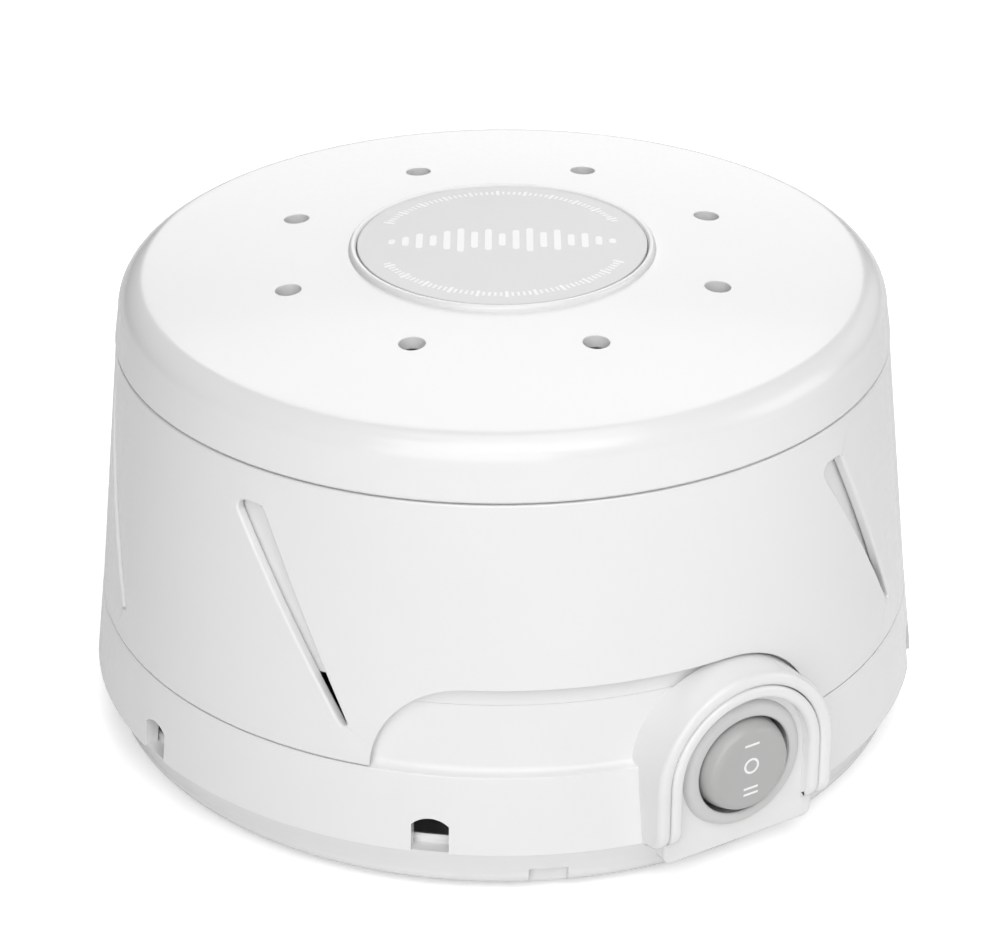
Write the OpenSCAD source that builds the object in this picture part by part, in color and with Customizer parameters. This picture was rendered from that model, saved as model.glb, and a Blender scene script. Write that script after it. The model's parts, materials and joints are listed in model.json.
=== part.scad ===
// Fan type sound machine: a round body whose cap and collar turn to open and close its sound holes.
// Millimetres, +Z up, origin on the table under the middle of the body, the switch faces -Y.

/* [Body] */
// Radius of the band at its lower edge
body_r = 73; // [68:0.5:80]
// How far the side leans in for each millimetre of height
side_taper = 0.105; // [0.08:0.005:0.13]
// How far the feet stand out under the pan
foot_h = 1; // [0.6:0.1:2]
// Height of the bottom pan
pan_h = 8.5; // [8:0.5:10]
// Height of the band above the pan
band_h = 13.7; // [13.5:0.1:14.5]
// Height of the tone collar
collar_h = 46.6; // [45:0.1:52]
// Height of the gap under the collar
collar_gap = 0.2; // [0.15:0.05:0.4]
// Height of the gap between the collar and the cap
seam_gap = 0.4; // [0.3:0.1:0.6]

/* [Walls] */
// Wall of the bottom pan
pan_t = 2.2; // [1.8:0.1:2.6]
// Wall of the band
band_t = 2.5; // [2.2:0.1:3]
// Wall of the tone collar
collar_t = 1.7; // [1.6:0.1:2.2]
// Wall of the acoustic shell
shell_t = 2; // [1.6:0.1:2.4]
// Wall of the top cap
cap_t = 2.2; // [1.8:0.1:2.4]

/* [Clearances] */
// Radial gap between the collar and what it turns around
turn_gap = 0.35; // [0.3:0.05:0.5]
// Radial gap of a pin or shaft in its running bore
run_gap = 0.06; // [0.02:0.01:0.09]
// Gap around a piece that is fitted into another
fit_gap = 0.15; // [0.1:0.05:0.25]
// Radial gap of a piece that is pushed onto a shaft
seat_gap = 0.01; // [0.01:0.005:0.03]

/* [Cap] */
// Height of the straight side of the cap
cap_side_h = 5.6; // [5:0.1:7]
// Radius of the rounded shoulder of the cap
shoulder_r = 5; // [4:0.5:6]
// Radius of the sphere that the top of the cap follows
dome_r = 480; // [400:10:700]
// Number of sound holes in the cap
tone_holes = 8; // [6:1:10]
// Radius of the circle of sound holes
tone_ring_r = 38.7; // [36:0.1:41]
// Radius of one sound hole
tone_hole_r = 2.2; // [1.8:0.1:2.8]
// Direction of the first sound hole
tone_hole_az = -8.4; // [-20:0.1:20]
// How far the cap turns to close its holes
cap_turn = 22.5; // [15:0.5:22.5]
// Radius of the medallion
medallion_r = 24.7; // [22:0.1:26]
// Thickness of the medallion
medallion_t = 1.8; // [1.4:0.1:2.2]
// Width of the raised ring around the medallion
rim_w = 1.3; // [1:0.1:1.6]
// How far that ring stands out of the cap
rim_h = 1; // [0.8:0.1:1.4]

/* [Collar] */
// Places for slots around the collar, one of which stays closed
slot_places = 8; // [8:1:8]
// Direction of the first slot's middle
slot_az = -60.5; // [-61:0.1:-60]
// Width of a slot at its top
slot_top_w = 6.1; // [4.5:0.1:7]
// Width of a slot at its tip
slot_tip_w = 1.3; // [1.2:0.05:2]
// Lean of a slot from upright
slot_lean = 29.4; // [24:0.1:32]
// Height of a slot
slot_h = 34.3; // [32:0.1:36]
// Height of the slots' tips above the collar's lower edge
slot_rise = 6.3; // [5.9:0.1:6.6]
// How far the collar turns
collar_turn = 34.5; // [33:0.1:36]
// Height of the window
window_h = 15.1; // [15:0.1:15.5]

/* [Switch] */
// Half width of the hood around the switch, and radius of its arch
hood_r = 17.1; // [16.8:0.1:17.2]
// How far the hood's face stands out past the band
hood_out = 3; // [2.5:0.1:5]
// Wall of the hood around the switch plate
hood_t = 2.35; // [2:0.05:2.6]
// Depth of the plate below the hood's face
plate_sink = 2.4; // [2:0.1:2.8]
// Thickness of the switch plate
plate_t = 2.2; // [2:0.1:2.4]
// Width of the raised rim of the switch plate
plate_rim_w = 2.1; // [1.6:0.1:2.4]
// Radius of the switch's bezel
bezel_r = 11.4; // [11:0.1:11.8]
// Thickness of the switch's bezel
bezel_t = 1.3; // [1:0.1:1.5]
// Radius of the switch's barrel
barrel_r = 10.05; // [9.9:0.05:10.2]
// Length of the switch's barrel behind its bezel
barrel_l = 20.6; // [19.6:0.2:23]
// Radius of the opening around the rocker
rocker_hole_r = 8.75; // [8.6:0.05:8.85]
// How far the rocker tilts each way
rocker_tilt = 10; // [6:1:12]

/* [Motor] */
// Radius of the motor shaft
shaft_r = 2.5; // [2:0.1:3]
// Radius of the rotor
rotor_r = 12.8; // [11:0.1:13.5]
// Height of the stack of laminations
stack_h = 16; // [12:1:18]
// Half width of the stack
stack_x = 24; // [23:0.5:26]
// Air gap around the rotor
air_gap = 0.4; // [0.3:0.05:0.6]
// Radius of the fan
fan_r = 40; // [30:1:46]
// Number of fan blades
fan_blades = 9; // [5:1:12]
// Height of the fan blades
blade_h = 11; // [7:0.5:12]

/* [Fasteners and cord] */
// Distance of the pan screws and feet from the band
foot_inset = 15; // [14.5:0.5:16]
// Radius of a rubber foot
foot_r = 7.3; // [6:0.1:7.5]
// Radius of a screw's shank
screw_r = 1.5; // [1.3:0.1:1.6]
// Radius of a screw's head
screw_head_r = 3; // [2.6:0.1:3.2]
// Length of a screw in its column
screw_l = 10; // [8:0.5:12]
// Radius of the cord's hole in the gland
cord_hole_r = 2.7; // [2:0.1:3]

/* [Hidden] */

$fn = 96;
big = 200;

// Heights of the body's levels
z_pan = foot_h;
z_band = z_pan + pan_h;
z_seam = z_band + band_h;
z_collar = z_seam + collar_gap;
z_collar_top = z_collar + collar_h;
z_cap = z_collar_top + seam_gap;

// The side of the body is a cone a little inside the band's lower edge
band_edge = 0.3;
function side_r(z) = body_r - band_edge - side_taper * (z - z_band);
function collar_inner_r(z) = side_r(z) - collar_t;
function shell_r(z) = collar_inner_r(z) - turn_gap;

// Places around the body are measured from -Y, counter-clockwise seen from above
module at(az, r = 0) {
    rotate([0, 0, az]) translate([0, -r, 0]) children();
}

// A block that faces the direction it is placed in: width, inner and outer distance, low and high end
module block(w, d0, d1, z0, z1) {
    translate([-w / 2, -d1, z0]) cube([w, d1 - d0, z1 - z0]);
}

// A flat outline in x and z, pulled out from distance d0 to d1
module slab(points, d0, d1) {
    translate([0, -d0, 0]) rotate([90, 0, 0]) linear_extrude(d1 - d0) polygon(points);
}

// A round bar that points outwards from distance d0 to d1 at height z
module bar(r, d0, d1, z) {
    translate([0, -d0, z]) rotate([90, 0, 0]) cylinder(r = r, h = d1 - d0);
}

module post(r, z0, z1) {
    translate([0, 0, z0]) cylinder(r = r, h = z1 - z0);
}

module tube(r_out, r_in, z0, z1) {
    difference() {
        post(r_out, z0, z1);
        post(r_in, z0 - 1, z1 + 1);
    }
}

module turned(points) {
    rotate_extrude($fn = 180) polygon(points);
}

// Points along an arc about c, from angle a0 to a1
function arc(c, r, a0, a1, n = 8) =
    [for (i = [0 : n]) let (a = a0 + (a1 - a0) * i / n) c + r * [cos(a), sin(a)]];

// An arch: a half circle of radius r about height zc on straight legs down to z0
function arch(r, zc, z0) = concat([[-r, z0], [r, z0]], arc([0, zc], r, 0, 180, 36));

// One corner p of an outline between the points a and b, rounded with radius r
function unit(v) = v / norm(v);
function corner(a, p, b, r, n = 6) =
    let (ua = unit(a - p), ub = unit(b - p), half = acos(ua * ub) / 2,
         c = p + unit(ua + ub) * r / sin(half),
         va = p + ua * r / tan(half) - c, vb = p + ub * r / tan(half) - c,
         a0 = atan2(va[1], va[0]), turn = atan2(va[0] * vb[1] - va[1] * vb[0], va * vb))
    arc(c, r, a0, a0 + turn, n);

// A closed outline with a radius at each corner
function rounded(p, r, n = 6) =
    [for (i = [0 : len(p) - 1])
        let (m = len(p))
        for (q = corner(p[(i + m - 1) % m], p[i], p[(i + 1) % m], r[i], n)) q];

white = [0.95, 0.95, 0.94];
grey = [0.72, 0.72, 0.71];
dark = [0.16, 0.16, 0.17];
steel = [0.62, 0.63, 0.65];
brass = [0.8, 0.62, 0.3];
copper = [0.75, 0.4, 0.22];

// ---- Bottom pan, feet and their screws ----

pan_edge_r = body_r - 0.5;
pan_round = 3.3;
pan_base_r = pan_edge_r - 5.5;
pan_side_r = pan_base_r + pan_round;
z_floor = z_pan + pan_t;
lip_t = 1.8;
lip_h = 1.3;
lip_r = body_r - band_t - fit_gap - 0.35;

foot_circle_r = body_r - foot_inset;
foot_az = 26.6;
foot_count = 4;
foot_sink = 1.2;
foot_gap = 0.2;
head_h = 2.2;
z_head = z_pan + foot_sink + 0.2;
z_web = z_head + head_h + 0.1;
pan_boss_r = 5.4;
z_boss = z_web + 2.2;
screw_gap = 0.1;

motor_post_r = 4;
motor_post_x = 26;
z_motor_post = z_floor + 8.8;

pan_notch_w = 6.4;
pan_notch_h = 4.2;
pan_notch_az = -25.5;
pan_notches = 3;
pan_notch_depth = 2;

module foot_places() {
    for (i = [0 : foot_count - 1]) at(foot_az + i * 360 / foot_count, foot_circle_r) children();
}

module motor_post_places() {
    for (x = [-1, 1], y = [-1, 1]) translate([x * motor_post_x, y * motor_post_x, 0]) children();
}

module bottom_pan() color(white) {
    outer = concat([[0, z_pan]],
                   arc([pan_base_r, z_pan + pan_round], pan_round, -90, 0, 8),
                   [[pan_edge_r, z_band - 0.05], [lip_r, z_band - 0.05], [lip_r, z_band + lip_h - 0.5],
                    [lip_r - 0.5, z_band + lip_h], [lip_r - lip_t, z_band + lip_h - 0.7],
                    [lip_r - lip_t, z_band - 0.6], [pan_side_r - pan_t, z_pan + pan_round],
                    [pan_side_r - pan_t - 1, z_floor], [0, z_floor]]);
    difference() {
        union() {
            turned(outer);
            foot_places() post(pan_boss_r, z_floor - 0.5, z_boss);
            motor_post_places() post(motor_post_r, z_floor - 0.5, z_motor_post);
        }
        foot_places() {
            post(foot_r + foot_gap, z_pan - 1, z_pan + foot_sink);
            post(screw_head_r + 0.4, z_pan - 1, z_web);
            post(screw_r + 0.3, z_pan - 1, z_boss + 1);
        }
        motor_post_places() post(screw_r + screw_gap, z_floor + 1.5, z_motor_post + 1);
        for (i = [0 : pan_notches - 1]) at(pan_notch_az + i * 360 / pan_notches)
            block(pan_notch_w, pan_side_r - pan_notch_depth, body_r + 1, -1, z_pan + pan_notch_h);
        // Flat behind the lower end of the switch plate, and room in the lip for the hood's root
        block(2 * (plate_r + 0.4), plate_back_d - 0.3, big, z_plate - 0.4, big);
        block(2 * (hood_r + 0.5), plate_back_d - 14, big, z_band - 0.05, big);
        // Room for the cord gland
        at(180) block(2 * (gland_r + 1), lip_r - lip_t - 2, lip_r + 1, z_band - 0.04, big);
    }
}

module rubber_feet() color(dark) {
    foot_places() rotate_extrude()
        polygon([[0, 0], [foot_r - 0.8, 0], [foot_r, 0.6], [foot_r, z_pan + foot_sink - 0.02],
                 [0, z_pan + foot_sink - 0.02]]);
}

module screw(z0, z1, up = true) {
    h = up ? 1 : -1;
    head = screw_head_r;
    difference() {
        rotate_extrude(convexity = 2)
            polygon([[0, z0], [head, z0], [head, z0 + h * head_h * 0.6], [head - 0.8, z0 + h * head_h],
                     [screw_r, z0 + h * head_h], [screw_r, z1 - h * 0.8], [screw_r * 0.4, z1], [0, z1]]);
        for (a = [0, 90]) rotate([0, 0, a])
            translate([-1.8, -0.4, min(z0 - h * 1, z0 + h * 1.2)]) cube([3.6, 0.8, 2.2]);
    }
}

column_r = 4.5;
z_column = z_boss + 0.05;
z_column_top = z_seam - 1.5;

module pan_screws() color(steel) {
    foot_places() screw(z_head, z_column + screw_l);
}

// ---- Base housing ----

shelf_t = 2.6;
shelf_round = 0.3;
fold_r = 1.2;
upstand_h = 11.7;
z_shelf = z_seam;
z_upstand = z_shelf + upstand_h;
z_under = z_shelf - shelf_t;

band_notch_w = 6.2;
band_notch_h = 6.1;
band_notch_az = 4.1;
band_notches = 8;
band_notch_rise = 1.3;
band_notch_r = (pow(band_notch_w / 2, 2) + pow(band_notch_rise, 2)) / 2 / band_notch_rise;
gland_place = 4;

sound_gap_w = 10.8;
sound_gap_h = 8.5;
sound_gap_shift = 5.3;
z_sound = z_collar + slot_rise - 1;

shell_screw_az = slot_az + sound_gap_shift + 2.5 * 360 / slot_places;
shell_screw_r = shell_r(z_shelf) - shell_t - column_r + 0.4;
shell_screws_n = 4;

module shell_screw_places() {
    for (i = [0 : shell_screws_n - 1])
        at(shell_screw_az + i * 360 / shell_screws_n, shell_screw_r) children();
}

// Places behind the slots, without the closed one
module slot_positions(shift = 0) {
    for (i = [0 : slot_places - 1]) if (i != 1) at(slot_az + shift + i * 360 / slot_places) children();
}

module sound_gaps(z0, z1) {
    slot_positions(sound_gap_shift) block(sound_gap_w, shell_r(z0) - 12, body_r, z0, z1);
}

hood_zc = z_band + 11.4;
hood_d = body_r + hood_out;
hood_root_d = hood_d - 16;
hood_roll = 3.4;
plate_d = hood_d - plate_sink;
plate_back_d = plate_d - plate_t;
plate_r = hood_r - hood_t - fit_gap;
z_plate = z_band - 3.8;
barrel_zc = hood_zc - 0.1;
barrel_gap = 0.1;
seat_r = barrel_r + 2;

gland_zc = z_band + 5.6;
gland_r = 5.3;
gland_neck_half = 3.6;
gland_tip_r = cord_hole_r + 1.1;

module hood_solid() {
    side = concat([[hood_root_d, z_band], [hood_d - hood_roll, z_band]],
                  arc([hood_d - hood_roll, z_band + hood_roll], hood_roll, -90, 0, 8),
                  [[hood_d, big], [hood_root_d, big]]);
    difference() {
        intersection() {
            slab(arch(hood_r, hood_zc, z_band), hood_root_d, hood_d + 1);
            translate([big / 2, 0, 0]) rotate([90, 0, -90]) linear_extrude(big) polygon(side);
        }
        post(shell_r(z_seam) - shell_t, 0, z_upstand);
        post(shell_r(z_upstand) + 0.5, z_upstand, big);
    }
}

module base_housing() color(white) {
    in_r = body_r - band_t;
    profile = concat([[body_r, z_band], [side_r(z_seam) + 0.1, z_shelf - shelf_round],
                      [side_r(z_seam) - 0.1, z_shelf]],
                     arc([shell_r(z_shelf) + fold_r, z_shelf + fold_r], fold_r, -90, -180, 5),
                     [[shell_r(z_upstand), z_upstand], [shell_r(z_upstand) - shell_t, z_upstand],
                      [shell_r(z_shelf) - shell_t, z_under], [side_r(z_under) - band_t, z_under],
                      [in_r, z_band]]);
    difference() {
        union() {
            turned(profile);
            hood_solid();
            foot_places() post(column_r, z_column, z_column_top);
            at(foot_az) for (i = [0 : foot_count - 1]) rotate([0, 0, i * 360 / foot_count])
                block(3, foot_circle_r, in_r + 0.2, z_band + lip_h + 0.6, z_column_top);
            shell_screw_places() post(column_r, z_under, z_upstand);
        }
        foot_places() post(screw_r + screw_gap, z_column - 1, z_column + screw_l + 1);
        shell_screw_places() {
            post(screw_r + 0.3, z_under - 1, z_upstand + 1);
            post(screw_head_r + 0.4, z_under - 1, z_under + head_h + 0.8);
        }
        // Arched notches in the band's lower edge; switch and cord gland take the place of two
        for (i = [1 : band_notches - 1]) if (i != gland_place)
            at(band_notch_az + i * 360 / band_notches) intersection() {
                block(band_notch_w, in_r - 6, big, z_band - 1, z_band + band_notch_h);
                bar(band_notch_r, in_r - 7, big, z_band + band_notch_h - band_notch_r);
            }
        sound_gaps(z_sound, z_upstand + 1);
        // The pocket of the switch plate, and the passage of the switch's barrel behind it
        slab(arch(hood_r - hood_t, hood_zc, 0), plate_back_d, big);
        slab(arch(seat_r, barrel_zc, 0), plate_back_d - 30, plate_back_d + 1);
        // Square slot of the cord gland, open at the band's lower edge so that the gland can't turn
        at(180) block(2 * gland_neck_half + 0.1, in_r - 8, big, z_band - 1,
                      gland_zc + gland_neck_half + 0.05);
    }
}

// The band's outer wall, grown by g
module band_cone(g) {
    r_low = body_r + g;
    r_high = side_r(z_seam) + 0.1 + g;
    h = z_shelf - shelf_round - z_band;
    translate([0, 0, z_band]) cylinder(r1 = r_low, r2 = r_high, h = h, $fn = 180);
}

module cord_gland() color(grey) {
    wall_d = side_r(gland_zc);
    at(180) difference() {
        union() {
            block(2 * gland_neck_half, wall_d - band_t - 1.5, wall_d + 1, z_band + 0.05,
                  gland_zc + gland_neck_half);
            intersection() {
                bar(gland_r, wall_d - band_t - 2.5, wall_d, gland_zc);
                band_cone(-band_t - 0.2);
            }
            difference() {
                union() {
                    bar(gland_r, wall_d - 1, wall_d + 2, gland_zc);
                    translate([0, -wall_d - 1.9, gland_zc]) rotate([90, 0, 0])
                        cylinder(r1 = gland_r - 0.6, r2 = gland_tip_r, h = rocker_face_d - wall_d - 1.9);
                }
                band_cone(0.05);
            }
        }
        bar(cord_hole_r, wall_d - 30, big, gland_zc);
    }
}

// ---- Switch ----

rocker_gap = 0.25;
pivot_drop = 2.9;
pivot_d = plate_d + bezel_t - pivot_drop;
rocker_ball_r = norm([rocker_hole_r - rocker_gap, pivot_drop]);
rocker_face_d = plate_d + 3.1;
cavity_r = rocker_ball_r + rocker_gap;
rocker_back = 3.6;
pin_r = 1;
barrel_end_d = plate_d - barrel_l;
cavity_floor_d = barrel_end_d + 2.5;
z_terminals = 6.5;
terminal_end_d = barrel_end_d - 7.5;
terminal_w = 4.8;
terminal_t = 0.8;
neck_r = 2.6;
neck_l = 8.5;
neck_d = pivot_d - neck_l;
plunger_r = 1.3;
arm_pin_r = 0.7;
arm_w = 4;
arm_low = 1.2;
arm_high = 1.5;
arm_t = 0.6;
arm_l = 14.4;
tip_gap = 0.35;
arm_d = cavity_floor_d + arm_low + 1.4;
tip_d = arm_d + arm_high + tip_gap;
arm_button_r = 1.1;
arm_ratio = 0.8;
arm_button_d = 0.2;
contact_gap = 0.3;
contact_tilt = arm_ratio * rocker_tilt;
contact_rise = arm_d + arm_button_d * cos(contact_tilt) - z_terminals * sin(contact_tilt)
               - contact_gap - cavity_floor_d;
common_rise = 0.9;

module switch_plate() color(white) {
    rolled = concat([[plate_d - 1, z_band], [plate_d - 0.2, z_band]],
                    arc([hood_d - hood_roll, z_band + hood_roll], hood_roll, -72, 0, 7),
                    [[hood_d, big], [plate_d - 1, big]]);
    foot_outline = concat(
        corner([-plate_r, big], [-plate_r, z_plate], [plate_r, z_plate], 1.5),
        corner([-plate_r, z_plate], [plate_r, z_plate], [plate_r, big], 1.5),
        arc([0, hood_zc], plate_r, 0, 180, 36));
    difference() {
        union() {
            slab(foot_outline, plate_back_d, plate_d);
            intersection() {
                difference() {
                    slab(arch(plate_r, hood_zc, z_band), plate_d - 0.5, hood_d + 1);
                    slab(arch(plate_r - plate_rim_w, hood_zc, 0), plate_d - 1, hood_d + 2);
                }
                translate([big / 2, 0, 0]) rotate([90, 0, -90]) linear_extrude(big) polygon(rolled);
            }
        }
        bar(barrel_r + barrel_gap, plate_back_d - 1, plate_d + 1, barrel_zc);
    }
}

module switch_body() color(grey) {
    difference() {
        // Barrel and bezel around a round cavity that follows the rocker's ball
        translate([0, 0, barrel_zc]) rotate([90, 0, 0]) rotate_extrude($fn = 120)
            polygon(concat([[0, barrel_end_d], [barrel_r, barrel_end_d], [barrel_r, plate_d],
                            [bezel_r, plate_d], [bezel_r, plate_d + 0.4],
                            [bezel_r - 0.9, plate_d + bezel_t]],
                           arc([0, pivot_d], cavity_r, asin(pivot_drop / cavity_r), 0, 6),
                           [[cavity_r, cavity_floor_d], [0, cavity_floor_d]]));
        translate([0, -pivot_d, barrel_zc]) rotate([0, 90, 0])
            cylinder(r = pin_r + 0.01, h = big, center = true);
        for (k = [-1 : 1]) translate([0, 0, barrel_zc + k * z_terminals])
            block(terminal_w + 0.1, barrel_end_d - 1, cavity_floor_d + 1,
                  -terminal_t / 2 - 0.05, terminal_t / 2 + 0.05);
        translate([0, -arm_d, barrel_zc]) rotate([0, 90, 0])
            cylinder(r = arm_pin_r + 0.01, h = 2 * cavity_r + 0.8, center = true);
    }
}

module rocker_pin() color(steel) {
    translate([0, -pivot_d, barrel_zc]) rotate([0, 90, 0])
        cylinder(r = pin_r, h = 2 * (barrel_r - 0.2), center = true);
}

module rocker_button() color(grey) {
    difference() {
        union() {
            translate([0, -pivot_d, barrel_zc]) rotate([90, 0, 0]) rotate_extrude($fn = 120)
                polygon(concat([[0, -rocker_back]],
                               arc([0, 0], rocker_ball_r, -asin(rocker_back / rocker_ball_r),
                                   asin((rocker_face_d - pivot_d) / rocker_ball_r), 14),
                               [[0, rocker_face_d - pivot_d]]));
            bar(neck_r, neck_d, pivot_d - 1, barrel_zc);
        }
        translate([0, -pivot_d, barrel_zc]) rotate([0, 90, 0])
            cylinder(r = pin_r + run_gap, h = 40, center = true);
        bar(plunger_r + run_gap, neck_d - 1, pivot_d - 2.2, barrel_zc);
    }
}

spring_wire = 0.2;
module plunger_spring() color(steel) {
    translate([0, -neck_d - 1.7, barrel_zc]) rotate([90, 0, 0])
        tube(plunger_r, plunger_r - 2 * spring_wire, 0, pivot_d - 2.25 - neck_d - 1.7);
}

module contact_plunger() color(brass) {
    bar(plunger_r, tip_d + plunger_r, neck_d + 1.65, barrel_zc);
    translate([0, -tip_d - plunger_r, barrel_zc]) sphere(r = plunger_r);
}

module contact_arm() color(brass) {
    difference() {
        union() {
            translate([0, 0, barrel_zc])
                block(arm_w, arm_d + arm_high - arm_t, arm_d + arm_high, -arm_l / 2, arm_l / 2);
            translate([0, 0, barrel_zc])
                block(arm_w, arm_d - arm_low, arm_d + arm_high - arm_t / 2, -arm_high, arm_high);
            for (s = [-1, 1]) translate([0, 0, barrel_zc + s * z_terminals])
                bar(arm_button_r, arm_d + arm_button_d, arm_d + arm_high - arm_t / 2, 0);
        }
        translate([0, -arm_d, barrel_zc]) rotate([0, 90, 0])
            cylinder(r = arm_pin_r + run_gap, h = 2 * arm_w, center = true);
    }
}

module contact_pin() color(steel) {
    translate([0, -arm_d, barrel_zc]) rotate([0, 90, 0])
        cylinder(r = arm_pin_r, h = 2 * cavity_r + 0.6, center = true);
}

module switch_terminals() color(brass) {
    for (k = [-1 : 1]) translate([0, 0, barrel_zc + k * z_terminals]) difference() {
        block(terminal_w, terminal_end_d, cavity_floor_d + (k == 0 ? common_rise : contact_rise),
              -terminal_t / 2, terminal_t / 2);
        translate([0, -terminal_end_d - 2.2, -1]) cylinder(r = terminal_w / 6, h = 2);
    }
}

sleeve_w = terminal_w + 1.6;
sleeve_h = terminal_t + 1.8;
sleeve_end_d = terminal_end_d - 2.5;
module terminal_sleeves() color(dark) {
    for (k = [-1, 1]) translate([0, 0, barrel_zc + k * z_terminals]) difference() {
        block(sleeve_w, sleeve_end_d, barrel_end_d - 1.5, -sleeve_h / 2, sleeve_h / 2);
        block(terminal_w + 0.1, terminal_end_d - 0.1, barrel_end_d,
              -terminal_t / 2 - 0.05, terminal_t / 2 + 0.05);
    }
}

// ---- Leads from the coil under the motor to the switch ----

lead_r = 1;
lead_x = 9;
lead_y = 22;
z_lead = z_floor + 2.8;
lead_rise_d = sleeve_end_d - 5;

module lead(points) {
    last = len(points) - 2;
    for (i = [0 : last]) {
        v = points[i + 1] - points[i];
        before = i == 0 ? 0 : lead_r * 0.7;
        after = i == last ? 0 : lead_r * 0.7;
        translate(points[i]) rotate([0, acos(v[2] / norm(v)), atan2(v[1], v[0])])
            translate([0, 0, -before]) cylinder(r = lead_r, h = norm(v) + before + after, $fn = 8);
    }
}

module motor_leads() color("firebrick") {
    for (k = [-1, 1]) {
        z_end = barrel_zc + k * z_terminals;
        lead([[k * lead_x, lead_y, z_coil_low - 0.02], [k * lead_x, lead_y, z_lead],
              [k * lead_x, -lead_rise_d, z_lead], [0, -lead_rise_d, z_end],
              [0, -sleeve_end_d + 0.02, z_end]]);
    }
}

// ---- Acoustic shell ----

// Height of the cap's top surface at radius r
z_shoulder = z_cap + cap_side_h;
cap_side_r = side_r(z_cap) + 0.1;
cap_top_r = cap_side_r - 0.8;
dome_edge = cap_top_r - shoulder_r + 0.5;
z_dome = z_shoulder + shoulder_r - 0.03;
function dome_z(r) = z_dome + (pow(dome_edge, 2) - pow(r, 2)) / 2 / dome_r;

// The medallion's top lies a little below the top of the ring around it
disc_sink = 0.25;
z_seat = dome_z(medallion_r) + rim_h - disc_sink - medallion_t;
z_hub_top = z_seat - 3;
z_hub = z_hub_top - 2.3;
washer_t = 0.7;
z_boss_top = z_hub - washer_t - 0.1;
z_shell_top = z_shoulder + 3;
shell_top_t = 2;
hub_r = 10.5;
cap_shoulder_r = 4;
boss_r = 8;
z_boss_low = z_boss_top - 5;
shell_tone_r = tone_hole_r + 0.8;
shell_lug_h = 7;
lip_in = 1.6;
thread_r = 2.4;

stop_r = 22;
stop_w = 4;
stop_gap = 0.5;

module acoustic_shell() color(white) {
    low_r = shell_r(z_upstand);
    z_low = z_upstand + 0.05;
    z_side = z_collar_top - 4;
    side = shell_r(z_side);
    shell_lip_r = shell_r(z_upstand) - shell_t - fit_gap;
    profile = [[low_r, z_low], [side, z_side], [side - 0.8, z_side + 3], [side - 9, z_shell_top],
               [hub_r + 3, z_shell_top], [hub_r + 3, z_boss_top], [0, z_boss_top], [0, z_boss_low],
               [boss_r, z_boss_low], [boss_r, z_boss_top - shell_top_t],
               [hub_r + 5, z_boss_top - shell_top_t], [hub_r + 5, z_shell_top - shell_top_t],
               [side - 10, z_shell_top - shell_top_t], [side - 0.8 - shell_t, z_side + 2.2],
               [side - shell_t, z_side], [shell_lip_r - lip_in, z_low + 2],
               [shell_lip_r - lip_in, z_low - 3], [shell_lip_r, z_low - 3], [shell_lip_r, z_low]];
    difference() {
        union() {
            turned(profile);
            shell_screw_places() intersection() {
                block(9, -5.5, column_r, z_low, z_low + shell_lug_h);
                at(0, -shell_screw_r) post(shell_r(z_low + shell_lug_h) - 0.5, 0, big);
            }
        }
        shell_screw_places() {
            post(screw_r + screw_gap, z_low - 1, z_low + shell_lug_h - 1);
            block(2 * column_r + 0.8, -9, column_r + 1, z_low - 4, z_low);
        }
        sound_gaps(z_upstand - 4, z_sound + sound_gap_h);
        post(thread_r + 0.05, z_boss_low - 1, z_boss_top + 1);
        for (i = [0 : tone_holes - 1]) at(tone_hole_az + i * 360 / tone_holes, tone_ring_r)
            post(shell_tone_r, z_shell_top - 5, z_shell_top + 1);
        // Arc groove in which the cap's stop travels
        stop_half = asin((stop_w / 2 + stop_gap) / stop_r);
        rotate([0, 0, -90 - stop_half]) rotate_extrude(angle = cap_turn + 2 * stop_half, $fn = 120)
            translate([stop_r - 1.8, z_shell_top - 5]) square([3.6, 8]);
        // Notch of the lip behind the switch's barrel
        block(2 * seat_r, plate_back_d - 20, big, z_low - 5, z_low);
    }
}

module shell_screws() color(steel) {
    shell_screw_places() screw(z_under + 0.6, z_upstand + 5);
}

// ---- Tone collar ----

hood_half_az = asin(hood_r / collar_inner_r(z_collar)) + 0.3;
window_left = -collar_turn - hood_half_az;
slot_low = z_collar + slot_rise;

// A slot's outline about the middle of its height
function slot_outline() =
    let (mid = slot_low + slot_h / 2, du = slot_h / 2 * tan(slot_lean), a = slot_top_w / 2,
         b = slot_tip_w / 2, z1 = slot_low + slot_h)
    rounded([[-du - a, z1], [-du + a, z1], [du + b, slot_low], [du - b, slot_low]],
            [1.5, 1.5, 0.4 * slot_tip_w, 0.4 * slot_tip_w]);

// The window's left corner and its right end, which follows the hood's arch, are round bars that end
// just under its top, so that no face is tangent
window_drop = 0.5;
window_gap = 0.45;
cut_depth = 20;
corner_r = window_h + window_drop - 0.02;

module collar_window() {
    corner_az = asin(corner_r / side_r(z_collar));
    rotate([0, 0, window_left + corner_az - 90]) rotate_extrude(angle = -window_left - corner_az, $fn = 180)
        translate([body_r - cut_depth, z_collar - 1]) square([2 * cut_depth, window_h + 1]);
    at(window_left + corner_az) bar(corner_r, body_r - cut_depth, body_r + cut_depth, z_collar - window_drop);
    bar(hood_r + window_gap, body_r - cut_depth, body_r + cut_depth, hood_zc);
}

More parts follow.
